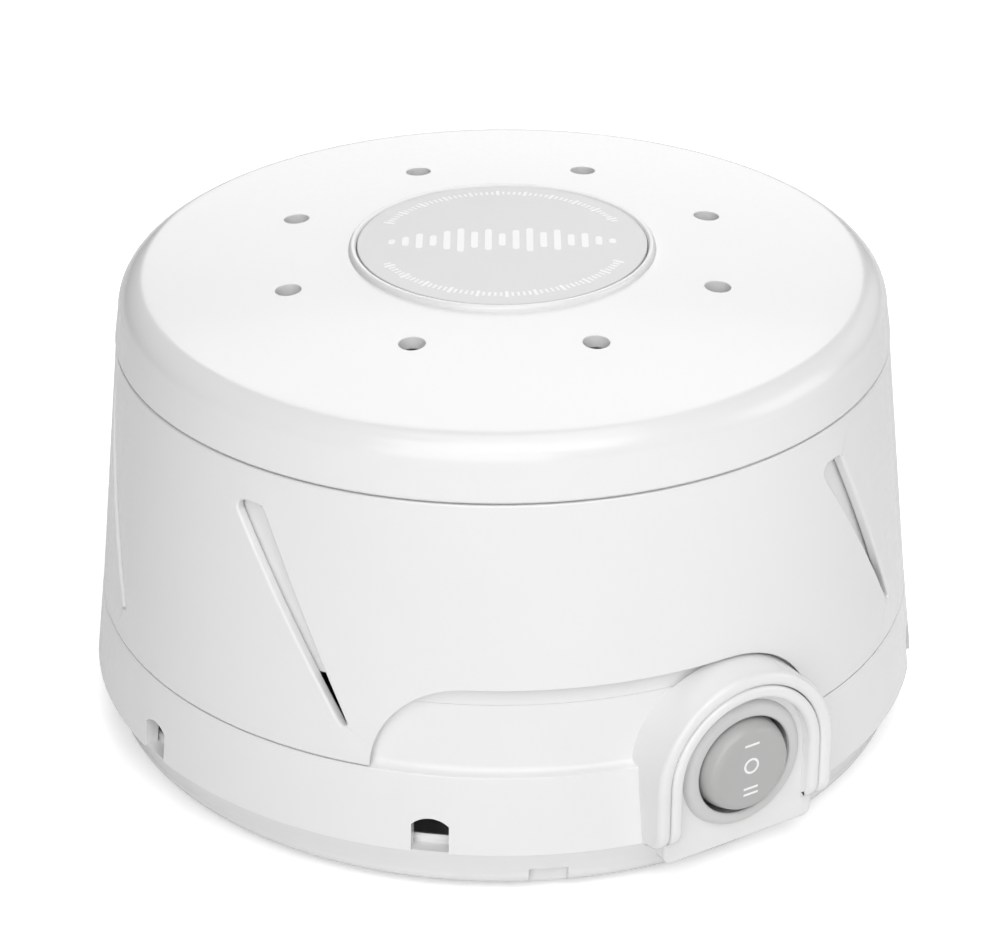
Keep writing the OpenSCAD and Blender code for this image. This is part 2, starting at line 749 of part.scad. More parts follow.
module tone_collar() color(white) {
    edge = 0.2;
    // The lower inner edge is cut away where the shelf folds up
    relief = fold_r - turn_gap;
    low_r = collar_inner_r(z_collar);
    difference() {
        turned([[low_r, z_collar + relief], [low_r + relief, z_collar], [side_r(z_collar) - edge, z_collar],
                [side_r(z_collar), z_collar + edge], [side_r(z_collar_top), z_collar_top - edge],
                [side_r(z_collar_top) - edge, z_collar_top], [collar_inner_r(z_collar_top), z_collar_top]]);
        slot_positions() slab(slot_outline(), body_r - cut_depth, body_r + cut_depth);
        collar_window();
    }
}

// ---- Top cap, medallion and pivot ----

module top_cap() color(white) {
    rim_in = medallion_r + fit_gap;
    rim_out = rim_in + rim_w;
    z_rim = dome_z(rim_out);
    in_r = cap_side_r - cap_t;
    outline = concat(
        [[in_r, z_cap], [cap_side_r - 0.2, z_cap], [cap_side_r, z_cap + 0.3]],
        arc([cap_top_r - shoulder_r, z_shoulder], shoulder_r, 0, 84, 10),
        [for (i = [0 : 5]) let (r = dome_edge - 1 + (rim_out - dome_edge + 1) * i / 5) [r, dome_z(r)]],
        arc([rim_out - rim_w / 2, z_rim + rim_h - rim_w / 2], rim_w / 2, 0, 180, 6),
        [[rim_in, z_seat], [boss_r, z_seat], [boss_r, z_hub_top], [0, z_hub_top], [0, z_hub],
         [hub_r, z_hub], [hub_r, z_seat - cap_t], [medallion_r, z_seat - cap_t]],
        [for (i = [1 : 4]) let (r = medallion_r + 3 + (dome_edge - medallion_r - 4) * i / 4)
            [r, dome_z(r) - cap_t]],
        arc([cap_top_r - shoulder_r, z_shoulder], shoulder_r - cap_t, 84, 0, 6));
    difference() {
        union() {
            turned(outline);
            at(0, stop_r) block(stop_w, -1.5, 1.5, z_shell_top - shell_top_t - 1, z_seat - cap_t + 0.5);
        }
        post(cap_shoulder_r + run_gap, z_hub - 1, z_hub_top + 1);
        for (i = [0 : tone_holes - 1]) at(tone_hole_az + i * 360 / tone_holes, tone_ring_r)
            post(tone_hole_r, z_hub - 1, big);
    }
}

module medallion() color([0.86, 0.86, 0.86]) {
    turned(concat([[0, z_seat + 0.02], [medallion_r, z_seat + 0.02]],
                  [for (i = [0 : 5]) let (r = medallion_r * (1 - i / 5))
                      [r, dome_z(r) + rim_h - disc_sink]]));
}

module cap_washer() color([0.9, 0.88, 0.8]) {
    tube(boss_r - 0.2, cap_shoulder_r + 0.3, z_boss_top, z_boss_top + washer_t);
}

module cap_pivot_screw() color(steel) {
    head_z = z_hub_top + 0.1;
    difference() {
        rotate_extrude()
            polygon([[0, z_boss_low], [thread_r - 0.5, z_boss_low], [thread_r, z_boss_low + 0.5],
                     [thread_r, z_boss_top], [cap_shoulder_r, z_boss_top], [cap_shoulder_r, head_z],
                     [boss_r - 1, head_z], [boss_r - 1, head_z + 1.8], [boss_r - 1.6, head_z + 2.4],
                     [0, head_z + 2.4]]);
        translate([0, 0, head_z + 0.8]) cylinder(r = 3, h = 5, $fn = 6);
    }
}

// ---- Motor ----

carrier_t = 1.5;
z_carrier = z_motor_post + 2.25;
z_carrier_top = z_carrier + carrier_t;
z_stack = z_carrier_top + 10.2;
z_stack_top = z_stack + stack_h;
bore_r = rotor_r + air_gap;
bolt_x = 19;
bolt_r = 1.9;
leg_h = 9;
bracket_y = 8;
bearing_r = 5;
bearing_h = 7;
hub_wall_r = bearing_r + 2.5;
z_low_bearing = z_stack - 2 - bearing_h;
z_high_bearing = z_stack_top + 2.5;
pole_y = 17.5;
limb_y = 27;
limb_t = 9;
limb_half_x = 12.5;
coil_t = 8;
bobbin_t = 1;
z_coil_low = z_stack - coil_t;

grommet_r = 5;
grommet_neck_r = 3.2;
grommet_hole_r = 2.1;
z_grommet_top = z_carrier_top + 2.25;

module motor_carrier() color(steel) {
    m = motor_post_x + 7;
    window_y = 19;
    difference() {
        translate([0, 0, z_carrier]) linear_extrude(carrier_t)
            polygon(rounded([[-m, -m], [m, -m], [m, m], [-m, m]], [6, 6, 6, 6]));
        motor_post_places() post(grommet_neck_r + 0.05, 0, big);
        for (s = [-1, 1]) translate([s * bolt_x, 0, 0]) post(bolt_r + 0.1, 0, big);
        post(hub_wall_r + 1, 0, big);
        // Weight saving windows in front of and behind the bearing, the rear one clears the coil
        for (s = [-1, 1]) translate([0, s * window_y, 0])
            translate([-limb_half_x - 1, -6, 0]) cube([2 * limb_half_x + 2, 12, big]);
    }
}

module motor_grommets() color(dark) {
    motor_post_places() rotate_extrude()
        polygon([[grommet_hole_r, z_motor_post], [grommet_r, z_motor_post], [grommet_r, z_carrier - 0.02],
                 [grommet_neck_r, z_carrier - 0.02], [grommet_neck_r, z_carrier_top + 0.02],
                 [grommet_r, z_carrier_top + 0.02], [grommet_r, z_grommet_top],
                 [grommet_hole_r, z_grommet_top]]);
}

module grommet_screws() color(steel) {
    motor_post_places() difference() {
        rotate_extrude()
            polygon([[0, z_grommet_top + 0.02], [grommet_r - 0.6, z_grommet_top + 0.02],
                     [grommet_r - 0.6, z_grommet_top + 0.8], [screw_head_r, z_grommet_top + 0.8],
                     [screw_head_r, z_grommet_top + 2.2], [screw_head_r - 0.8, z_grommet_top + 2.8],
                     [0, z_grommet_top + 2.8]]);
        translate([-2, -0.4, z_grommet_top + 1.8]) cube([4, 0.8, 3]);
    }
    motor_post_places() post(screw_r, z_floor + 2.5, z_grommet_top + 0.1);
}

module bolt_places() {
    for (s = [-1, 1]) translate([s * bolt_x, 0, 0]) children();
}

z_bracket_top = z_stack_top + leg_h;
nut_r = 2 * bolt_r + 0.2;
nut_h = 2.4;
z_nut = z_carrier - nut_h;

module motor_bolts() color(steel) {
    bolt_places() {
        post(bolt_r, z_nut - 1, z_bracket_top + 0.1);
        difference() {
            post(3.6, z_bracket_top + 0.02, z_bracket_top + 2.4);
            translate([-4, -0.5, z_bracket_top + 1.4]) cube([8, 1, 2]);
        }
    }
}

module motor_nuts() color(steel) {
    bolt_places() difference() {
        translate([0, 0, z_nut]) cylinder(r = nut_r, h = nut_h - 0.02, $fn = 6);
        post(bolt_r + 0.02, 0, big);
    }
}

// A bearing bracket: two legs at the bolts, a bridge between them and a hub for the bearing
module bearing_bracket(z_leg0, z_leg1, z_bridge, z_bearing) {
    foot = 5;
    difference() {
        union() {
            for (s = [-1, 1]) translate([s * bolt_x, 0, (z_leg0 + z_leg1) / 2])
                cube([2 * foot - 1, 2 * bracket_y, z_leg1 - z_leg0], center = true);
            translate([-bolt_x, -bracket_y, z_bridge]) cube([2 * bolt_x, 2 * bracket_y, 3]);
            post(hub_wall_r, min(z_bearing, z_bridge), z_bearing + bearing_h);
        }
        bolt_places() post(bolt_r + 0.1, 0, big);
        post(bearing_r + 0.01, 0, big);
    }
}

module lower_bearing_bracket() color(steel) {
    bearing_bracket(z_carrier_top, z_stack, z_carrier_top + 1.2, z_low_bearing);
}

module upper_bearing_bracket() color(steel) {
    bearing_bracket(z_stack_top, z_bracket_top, z_bracket_top - 3, z_high_bearing);
}

module bearing(z) {
    difference() {
        post(bearing_r, z, z + bearing_h);
        post(shaft_r + run_gap, z - 1, z + bearing_h + 1);
    }
}

module lower_bearing() color(brass) bearing(z_low_bearing);
module upper_bearing() color(brass) bearing(z_high_bearing);

shade_w = 1.6;
shade_x = 8;
shade_y = -14.2;
shade_step = 5.4;

module motor_laminations() color(steel) {
    difference() {
        translate([0, 0, z_stack]) linear_extrude(stack_h)
            polygon([[-stack_x, -stack_x], [stack_x, -stack_x], [stack_x, limb_y + limb_t - 3],
                     [stack_x - 3, limb_y + limb_t], [-stack_x + 3, limb_y + limb_t],
                     [-stack_x, limb_y + limb_t - 3]]);
        post(bore_r, 0, big);
        // Space of the coil between the poles and the limb
        translate([-limb_half_x, pole_y, 0]) cube([2 * limb_half_x, limb_y - pole_y, big]);
        translate([-2, 0, 0]) cube([4, limb_y, big]);
        bolt_places() post(bolt_r + 0.1, 0, big);
        shading_slots() translate([-shade_w / 2 - 0.05, -0.05, 0])
            cube([shade_w + 0.1, shade_w + 0.1, big]);
    }
}

// The two legs of each shading ring, beside the bore at opposite pole tips
module shading_slots() {
    for (a = [0, 180], x = [0, 1]) rotate([0, 0, a])
        translate([shade_x + x * shade_step, shade_y, 0]) children();
}

module shading_rings() color(copper) {
    shading_slots() translate([-shade_w / 2, 0, z_stack - shade_w])
        cube([shade_w, shade_w, stack_h + 2 * shade_w]);
    for (a = [0, 180], z = [z_stack - shade_w - 0.02, z_stack_top + 0.02]) rotate([0, 0, a])
        translate([shade_x - shade_w / 2, shade_y, z]) cube([shade_step + shade_w, shade_w, shade_w]);
}

// Space around the limb, t wide, over half width x
module limb_wrap(t, x) {
    difference() {
        translate([-x, limb_y - t, z_stack - t]) cube([2 * x, limb_t + 2 * t, stack_h + 2 * t]);
        translate([-x - 1, limb_y - 0.02, z_stack - 0.02]) cube([2 * x + 2, limb_t + 0.04, stack_h + 0.04]);
    }
}

module coil_bobbin() color([0.9, 0.9, 0.85]) {
    limb_wrap(bobbin_t, limb_half_x - 0.3);
    for (s = [-1, 1]) translate([s * (limb_half_x - 0.3 - bobbin_t / 2), 0, 0])
        limb_wrap(coil_t, bobbin_t / 2);
}

module coil_winding() color(copper) {
    half_x = limb_half_x - 0.3 - bobbin_t - 0.02;
    t = coil_t - 0.8;
    difference() {
        translate([-half_x, 0, 0]) rotate([90, 0, 90]) linear_extrude(2 * half_x)
            polygon(rounded([[limb_y - t, z_stack - t], [limb_y + limb_t + t, z_stack - t],
                             [limb_y + limb_t + t, z_stack_top + t], [limb_y - t, z_stack_top + t]],
                            [3, 3, 3, 3]));
        translate([-half_x - 1, limb_y - bobbin_t - 0.02, z_stack - bobbin_t - 0.02])
            cube([2 * half_x + 2, limb_t + 2 * bobbin_t + 0.04, stack_h + 2 * bobbin_t + 0.04]);
    }
}

module thermal_fuse() color(steel) {
    y = limb_y + limb_t + coil_t - 0.8 + 1.8;
    translate([-5, y, z_stack + stack_h / 2]) rotate([0, 90, 0]) cylinder(r = 1.75, h = 10);
}

// ---- Rotor, shaft and fan ----

z_fan = z_high_bearing + bearing_h + 3;
fan_disc_t = 1.6;
fan_hub_r = 6;
fan_hub_h = 11.5;
blade_t = 1.4;
blade_in_r = 13;
z_shaft_top = z_fan + fan_hub_h + 3.5;

module rotor() color(steel) {
    difference() {
        turned([[0, z_stack - 1], [rotor_r - 1.5, z_stack - 1], [rotor_r, z_stack + 0.3],
                [rotor_r, z_stack_top - 0.3], [rotor_r - 1.5, z_stack_top + 1], [0, z_stack_top + 1]]);
        post(shaft_r + seat_gap, 0, big);
    }
}

module motor_shaft() color(steel) {
    rotate_extrude() polygon([[0, z_low_bearing - 1.5], [shaft_r - 0.4, z_low_bearing - 1.5],
                              [shaft_r, z_low_bearing - 1], [shaft_r, z_shaft_top - 0.4],
                              [shaft_r - 0.4, z_shaft_top], [0, z_shaft_top]]);
}

module fan_impeller() color([0.25, 0.27, 0.3]) {
    difference() {
        union() {
            post(fan_r, z_fan, z_fan + fan_disc_t);
            post(fan_hub_r, z_fan, z_fan + fan_hub_h);
            for (i = [0 : fan_blades - 1]) rotate([0, 0, i * 360 / fan_blades + 4 * (i % 3)])
                translate([blade_in_r, -blade_t / 2, z_fan + fan_disc_t - 0.1]) rotate([0, 0, 18])
                    cube([(fan_r - blade_in_r) * 0.96, blade_t, blade_h + 0.1]);
        }
        post(shaft_r + seat_gap, 0, big);
    }
}

module fan_collar() color(brass) {
    difference() {
        post(shaft_r + 2, z_fan + fan_hub_h + 0.02, z_fan + fan_hub_h + 2.8);
        post(shaft_r + seat_gap, 0, big);
        translate([0, 0, z_fan + fan_hub_h + 1.4]) rotate([90, 0, 0]) cylinder(r = 0.8, h = 8);
    }
}

bottom_pan();
rubber_feet();
pan_screws();
base_housing();
cord_gland();
switch_plate();
switch_body();
rocker_pin();
rocker_button();
plunger_spring();
contact_plunger();
contact_arm();
contact_pin();
switch_terminals();
terminal_sleeves();
motor_leads();
acoustic_shell();
shell_screws();
tone_collar();
top_cap();
medallion();
cap_washer();
cap_pivot_screw();
motor_carrier();
motor_grommets();
grommet_screws();
motor_bolts();
motor_nuts();
lower_bearing_bracket();
upper_bearing_bracket();
lower_bearing();
upper_bearing();
motor_laminations();
shading_rings();
coil_bobbin();
coil_winding();
thermal_fuse();
rotor();
motor_shaft();
fan_impeller();
fan_collar();
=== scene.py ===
"""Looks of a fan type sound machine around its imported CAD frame."""
import json
import math

import bmesh
import bpy
from mathutils import Matrix, Vector


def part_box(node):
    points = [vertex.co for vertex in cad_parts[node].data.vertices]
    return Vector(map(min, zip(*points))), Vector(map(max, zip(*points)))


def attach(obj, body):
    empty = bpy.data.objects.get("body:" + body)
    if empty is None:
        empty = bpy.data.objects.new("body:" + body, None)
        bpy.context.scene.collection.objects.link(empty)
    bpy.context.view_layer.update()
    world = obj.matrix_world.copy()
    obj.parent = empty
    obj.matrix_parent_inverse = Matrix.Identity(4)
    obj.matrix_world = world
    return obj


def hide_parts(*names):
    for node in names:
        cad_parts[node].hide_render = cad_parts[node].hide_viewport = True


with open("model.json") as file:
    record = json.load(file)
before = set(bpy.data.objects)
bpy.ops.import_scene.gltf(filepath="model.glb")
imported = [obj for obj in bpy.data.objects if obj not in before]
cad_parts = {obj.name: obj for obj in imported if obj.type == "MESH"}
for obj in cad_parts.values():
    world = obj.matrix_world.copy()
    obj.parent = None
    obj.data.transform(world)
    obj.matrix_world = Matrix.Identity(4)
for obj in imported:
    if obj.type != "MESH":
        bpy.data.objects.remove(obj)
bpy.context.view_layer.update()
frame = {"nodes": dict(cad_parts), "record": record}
nodes = frame["nodes"]

MM = 0.001


def add_object(name, data):
    obj = bpy.data.objects.new(name, data)
    bpy.context.scene.collection.objects.link(obj)
    return obj


# ---------------------------------------------------------------- camera

# Fitted to the round outlines and seams in the photo
IMAGE_W = 1000
FOCAL_PX = 3211.77
SENSOR_MM = 36.0
CAM_DIST = 0.58260
CAM_ELEV = math.radians(30.662)
CAM_YAW = math.radians(0.0585)
CAM_PITCH = math.radians(2.7237)
CAM_ROLL = math.radians(0.2637)
CAM_AIM_Z = 0.0095
CAM_CLIP = 0.02
# From the switch's side, at -Y, to the camera's side
CAM_TURN = Matrix.Rotation(math.radians(-31.3), 3, "Z")


def make_camera():
    pos = Vector((0, -CAM_DIST * math.cos(CAM_ELEV), CAM_DIST * math.sin(CAM_ELEV)))
    fwd = -pos.normalized()
    right = Vector((1, 0, 0))
    up = right.cross(fwd)
    yaw = Matrix.Rotation(CAM_YAW, 3, up)
    fwd, right = yaw @ fwd, yaw @ right
    pitch = Matrix.Rotation(CAM_PITCH, 3, right)
    fwd, up = pitch @ fwd, pitch @ up
    roll = Matrix.Rotation(CAM_ROLL, 3, fwd)
    right, up = roll @ right, roll @ up
    right, up, back = CAM_TURN @ right, CAM_TURN @ up, -(CAM_TURN @ fwd)
    place = CAM_TURN @ pos + Vector((0, 0, CAM_AIM_Z))
    basis = Matrix((right, up, back)).transposed().to_4x4()
    data = bpy.data.cameras.new("photo_camera")
    data.sensor_fit = "HORIZONTAL"
    data.sensor_width = SENSOR_MM
    data.lens = FOCAL_PX * SENSOR_MM / IMAGE_W
    data.clip_start = CAM_CLIP
    cam = add_object("photo_camera", data)
    cam.matrix_world = Matrix.Translation(place) @ basis
    bpy.context.scene.camera = cam


make_camera()

# ---------------------------------------------------------------- materials

NOISE_DETAIL = 3.0
# Most values of a noise lie between these
NOISE_REACH = (0.35, 0.65)
EDGE_SAMPLES = 6
CLOUD_SCALE = 22.0
COAT_ROUGH = 0.16
SKIN_DEPTH = 0.00005
METAL_DEPTH = 0.0001
METAL_SHADE = 0.88
METAL_GLOSS = (0.8, 1.25)


def tree_of(name):
    mat = bpy.data.materials.new(name)
    mat.use_nodes = True
    nt = mat.node_tree
    return mat, nt, nt.nodes["Principled BSDF"]


def fine_noise(nt, scale, stretch=None):
    """Noise in object space, the same from every side."""
    place = nt.nodes.new("ShaderNodeTexCoord").outputs["Object"]
    if stretch:
        mapping = nt.nodes.new("ShaderNodeMapping")
        mapping.inputs["Scale"].default_value = stretch
        nt.links.new(place, mapping.inputs["Vector"])
        place = mapping.outputs["Vector"]
    noise = nt.nodes.new("ShaderNodeTexNoise")
    noise.inputs["Scale"].default_value = scale
    noise.inputs["Detail"].default_value = NOISE_DETAIL
    nt.links.new(place, noise.inputs["Vector"])
    return noise.outputs["Fac"]


def ramp(nt, source, low, high, reach=NOISE_REACH):
    node = nt.nodes.new("ShaderNodeMapRange")
    node.inputs["From Min"].default_value = reach[0]
    node.inputs["From Max"].default_value = reach[1]
    node.inputs["To Min"].default_value = low
    node.inputs["To Max"].default_value = high
    nt.links.new(source, node.inputs["Value"])
    return node.outputs["Result"]


def tinted(nt, source, low, high):
    node = nt.nodes.new("ShaderNodeMix")
    node.data_type = "RGBA"
    node.inputs["A"].default_value = (*low, 1)
    node.inputs["B"].default_value = (*high, 1)
    nt.links.new(ramp(nt, source, 0, 1), node.inputs["Factor"])
    return node.outputs["Result"]


def bumped(nt, bsdf, source, strength, distance, edge=0.0):
    """Bump from a height; edge is the radius that sharp edges are rounded with."""
    bump = nt.nodes.new("ShaderNodeBump")
    if edge:
        rounded = nt.nodes.new("ShaderNodeBevel")
        rounded.samples = EDGE_SAMPLES
        rounded.inputs["Radius"].default_value = edge
        nt.links.new(rounded.outputs["Normal"], bump.inputs["Normal"])
    bump.inputs["Strength"].default_value = strength
    bump.inputs["Distance"].default_value = distance
    nt.links.new(source, bump.inputs["Height"])
    nt.links.new(bump.outputs["Normal"], bsdf.inputs["Normal"])


def plastic(name, color, rough, spread=0.012, grain=900.0, bump=0.03, coat=0.0,
            specular=0.5, edge=0.0003, uneven=0.11):
    """Moulded plastic: slight cloudiness, uneven gloss and a faint skin of the mould."""
    mat, nt, bsdf = tree_of(name)
    low = [max(0.0, c - spread) for c in color]
    high = [min(1.0, c + spread) for c in color]
    cloud = fine_noise(nt, CLOUD_SCALE)
    nt.links.new(tinted(nt, cloud, low, high), bsdf.inputs["Base Color"])
    skin = fine_noise(nt, grain)
    gloss = ramp(nt, skin, rough * (1 - uneven), rough * (1 + uneven))
    nt.links.new(gloss, bsdf.inputs["Roughness"])
    bsdf.inputs["Specular IOR Level"].default_value = specular
    bsdf.inputs["Coat Weight"].default_value = coat
    bsdf.inputs["Coat Roughness"].default_value = COAT_ROUGH
    bumped(nt, bsdf, skin, bump, SKIN_DEPTH, edge)
    return mat


def metal(name, color, rough, grain=260.0, bump=0.15, stretch=None):
    mat, nt, bsdf = tree_of(name)
    bsdf.inputs["Metallic"].default_value = 1.0
    noise = fine_noise(nt, grain, stretch)
    low = [c * METAL_SHADE for c in color]
    nt.links.new(tinted(nt, noise, low, color), bsdf.inputs["Base Color"])
    gloss = ramp(nt, noise, rough * METAL_GLOSS[0], rough * METAL_GLOSS[1])
    nt.links.new(gloss, bsdf.inputs["Roughness"])
    bumped(nt, bsdf, noise, bump, METAL_DEPTH)
    return mat


def rubber(name, color, rough):
    return plastic(name, color, rough, spread=0.01, grain=1500.0, bump=0.25, specular=0.35)


BODY_WHITE = (0.87, 0.87, 0.868)
GLOSSY = {"spread": 0.006, "coat": 0.3}
EVEN = {"spread": 0.004, "bump": 0.0, "edge": 0.0, "uneven": 0.01}
body_white = plastic("body_white", BODY_WHITE, 0.24, **GLOSSY)
# The housing and the shell meet in a plain seam below the collar's window
crisp_white = plastic("crisp_white", BODY_WHITE, 0.24, edge=0.0, **GLOSSY)
bezel_grey = plastic("bezel_grey", (0.66, 0.66, 0.655), 0.30, **EVEN)
rocker_grey = plastic("rocker_grey", (0.48, 0.48, 0.475), 0.28, **EVEN)
mark_white = plastic("mark_white", (0.965, 0.965, 0.965), 0.4, spread=0.003, edge=0.0)
disc_grey = plastic("disc_grey", (0.755, 0.755, 0.755), 0.42, spread=0.01)
foot_black = rubber("foot_black", (0.03, 0.03, 0.032), 0.7)
gland_grey = rubber("gland_grey", (0.66, 0.66, 0.65), 0.55)
sleeve_black = plastic("sleeve_black", (0.03, 0.03, 0.033), 0.45)
fan_dark = plastic("fan_dark", (0.05, 0.055, 0.065), 0.4)
nylon = plastic("nylon", (0.76, 0.74, 0.66), 0.5)
lead_red = plastic("lead_red", (0.45, 0.03, 0.025), 0.45)
zinc = metal("zinc", (0.66, 0.67, 0.69), 0.32)
sheet_steel = metal("sheet_steel", (0.30, 0.31, 0.33), 0.45, stretch=(1, 1, 12))
cast_alloy = metal("cast_alloy", (0.62, 0.63, 0.64), 0.48, grain=700.0, bump=0.3)
bronze = metal("bronze", (0.62, 0.44, 0.22), 0.45, grain=1200.0, bump=0.3)
brass = metal("brass", (0.78, 0.60, 0.28), 0.28)
copper = metal("copper", (0.66, 0.28, 0.12), 0.3, grain=500.0, stretch=(1, 6, 1))

NODE_MATERIAL = {
    "bottom_pan": body_white, "base_housing": crisp_white, "switch_plate": body_white,
    "tone_collar": body_white, "top_cap": body_white, "acoustic_shell": crisp_white,
    "medallion": disc_grey, "switch_body": bezel_grey, "rocker_button": rocker_grey,
    "rubber_feet": foot_black, "motor_grommets": foot_black, "cord_gland": gland_grey,
    "pan_screws": zinc, "shell_screws": zinc, "rocker_pin": zinc, "plunger_spring": zinc,
    "contact_pin": zinc, "cap_pivot_screw": zinc, "grommet_screws": zinc, "motor_bolts": zinc,
    "motor_nuts": zinc, "motor_shaft": zinc, "thermal_fuse": zinc,
    "contact_plunger": brass, "contact_arm": brass, "switch_terminals": brass,
    "lower_bearing": bronze, "upper_bearing": bronze, "fan_collar": bronze,
    "motor_carrier": sheet_steel, "motor_laminations": sheet_steel, "rotor": sheet_steel,
    "lower_bearing_bracket": cast_alloy, "upper_bearing_bracket": cast_alloy,
    "shading_rings": copper, "coil_winding": copper,
    "coil_bobbin": nylon, "cap_washer": nylon, "fan_impeller": fan_dark,
    "terminal_sleeves": sleeve_black, "motor_leads": lead_red,
}
for name, obj in nodes.items():
    obj.data.materials.clear()
    obj.data.materials.append(NODE_MATERIAL[name])

# ---------------------------------------------------------------- smooth curves, sharp edges

SHARP_ANGLE = math.radians(33)
WELD_DIST = 0.000002


def compared(group, value, operation, limit):
    node = group.nodes.new("FunctionNodeCompare")
    node.data_type = "FLOAT"
    node.operation = operation
    node.inputs["B"].default_value = limit
    group.links.new(value, node.inputs["A"])
    return node.outputs["Result"]


def calculated(group, operation, *values):
    node = group.nodes.new("ShaderNodeMath")
    node.operation = operation
    for socket, value in zip(node.inputs, values):
        if isinstance(value, float):
            socket.default_value = value
        else:
            group.links.new(value, socket)
    return node.outputs["Value"]


def shading_group(name, pick=None, weld=WELD_DIST):
    """Joins loose faces, smooths the curved surfaces and keeps the edges over SHARP_ANGLE.

    With pick, the sharp edges that it chooses get a weight for the Bevel modifier.
    """
    group = bpy.data.node_groups.new(name, "GeometryNodeTree")
    for in_out in ("INPUT", "OUTPUT"):
        group.interface.new_socket("Geometry", in_out=in_out,
                                   socket_type="NodeSocketGeometry")
    new, link = group.nodes.new, group.links.new
    start, end = new("NodeGroupInput"), new("NodeGroupOutput")
    merge = new("GeometryNodeMergeByDistance")
    merge.inputs["Distance"].default_value = weld
    faces, edges, sharp = (new("GeometryNodeSetShadeSmooth") for _ in range(3))
    edges.domain = "EDGE"
    sharp.domain = "EDGE"
    sharp.inputs["Shade Smooth"].default_value = False
    angle = new("GeometryNodeInputMeshEdgeAngle").outputs["Unsigned Angle"]
    chosen = compared(group, angle, "GREATER_THAN", SHARP_ANGLE)
    link(chosen, sharp.inputs["Selection"])
    out = start.outputs["Geometry"]
    for after in (merge, faces, edges, sharp):
        link(out, after.inputs["Geometry"])
        out = after.outputs["Geometry"]
    if pick:
        split = new("ShaderNodeSeparateXYZ")
        link(new("GeometryNodeInputPosition").outputs["Position"], split.inputs["Vector"])
        for test in pick(group, split.outputs):
            both = new("FunctionNodeBooleanMath")
            both.operation = "AND"
            link(chosen, both.inputs[0])
            link(test, both.inputs[1])
            chosen = both.outputs["Boolean"]
        weight = new("GeometryNodeStoreNamedAttribute")
        weight.data_type = "FLOAT"
        weight.domain = "EDGE"
        weight.inputs["Name"].default_value = "bevel_weight_edge"
        weight.inputs["Value"].default_value = 1.0
        link(chosen, weight.inputs["Selection"])
        link(out, weight.inputs["Geometry"])
        out = weight.outputs["Geometry"]
    link(out, end.inputs["Geometry"])
    return group


# The faces of the bezel, the plate and the hood lie in front of these planes
BEZEL_Y = -0.0738
PLATE_Y = -0.0737
HOOD_Y = -0.0727
# A cone with the radius COLLAR_CONE at the ground, which narrows upwards by SIDE_TAPER,
# runs between the inner and the outer face of the collar's wall
SIDE_TAPER = 0.105
COLLAR_CONE = 0.0733
# The window lies between these directions from -Y, and the closed slot place above it
WINDOW_AZ = (math.radians(-50.5), math.radians(16))
# The slots end between these heights
SLOTS_Z = (0.0285, 0.0665)


def in_front_of(y):
    return lambda group, at: [compared(group, at["Y"], "LESS_THAN", y)]


def outside_cone(group, at):
    """Edges on the outer face of the collar."""
    square = calculated(group, "ADD", calculated(group, "MULTIPLY", at["X"], at["X"]),
                        calculated(group, "MULTIPLY", at["Y"], at["Y"]))
    lean = calculated(group, "MULTIPLY", at["Z"], SIDE_TAPER)
    reach = calculated(group, "ADD", calculated(group, "SQRT", square), lean)
    return compared(group, reach, "GREATER_THAN", COLLAR_CONE)


def slot_edges(group, at):
    """Outer edges of the collar's slots, without those of its window."""
    az = calculated(group, "ARCTAN2", at["X"], calculated(group, "MULTIPLY", at["Y"], -1.0))
    middle = (WINDOW_AZ[0] + WINDOW_AZ[1]) / 2
    off = calculated(group, "ABSOLUTE", calculated(group, "SUBTRACT", az, middle))
    return [compared(group, at["Z"], "GREATER_THAN", SLOTS_Z[0]),
            compared(group, at["Z"], "LESS_THAN", SLOTS_Z[1]),
            outside_cone(group, at),
            compared(group, off, "GREATER_THAN", WINDOW_AZ[1] - middle)]


SHADING = shading_group("moulded_shading")
# Edges that are rounded in the mesh: which of the sharp ones, their radius, and how near
# vertices are joined. The round ends of the slots hold some very short edges, which a
# bevel would turn into spikes
ROUNDED = {
    "switch_body": (in_front_of(BEZEL_Y), 0.5 * MM, WELD_DIST),
    "switch_plate": (in_front_of(PLATE_Y), 0.8 * MM, WELD_DIST),
    "base_housing": (in_front_of(HOOD_Y), 0.9 * MM, WELD_DIST),
    "tone_collar": (slot_edges, 0.4 * MM, 0.03 * MM),
}
ROUND_SEGMENTS = 4
for name, obj in nodes.items():
    shade = obj.modifiers.new("moulded_shading", "NODES")
    if name in ROUNDED:
        pick, radius, weld = ROUNDED[name]
        shade.node_group = shading_group("moulded_" + name, pick, weld)
        bevel = obj.modifiers.new("rounded", "BEVEL")
        bevel.limit_method = "WEIGHT"
        bevel.width = radius
        bevel.segments = ROUND_SEGMENTS
        bevel.use_clamp_overlap = False
    else:
        shade.node_group = SHADING
    even = obj.modifiers.new("even_normals", "WEIGHTED_NORMAL")
    even.mode = "FACE_AREA_WITH_ANGLE"
    even.keep_sharp = True

# ---------------------------------------------------------------- print on the medallion

DISC_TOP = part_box("medallion")[1][2]
DOME_R = 0.480
# Print stands this far over the surface and reaches as far into it
INK = 0.03 * MM
RING_PARTS = 48
BAR_STEPS = 5


def add_plate(bm, outline, place):
    """Thin closed plate with the given outline."""
    top = [bm.verts.new(place(u, v, INK)) for u, v in outline]
    low = [bm.verts.new(place(u, v, -INK)) for u, v in outline]
    bm.faces.new(top)
    bm.faces.new(low[::-1])
    for i in range(len(top)):
        j = (i + 1) % len(top)
        bm.faces.new((low[i], low[j], top[j], top[i]))


def turn_angles(parts):
    return [2 * math.pi * k / parts for k in range(parts)]


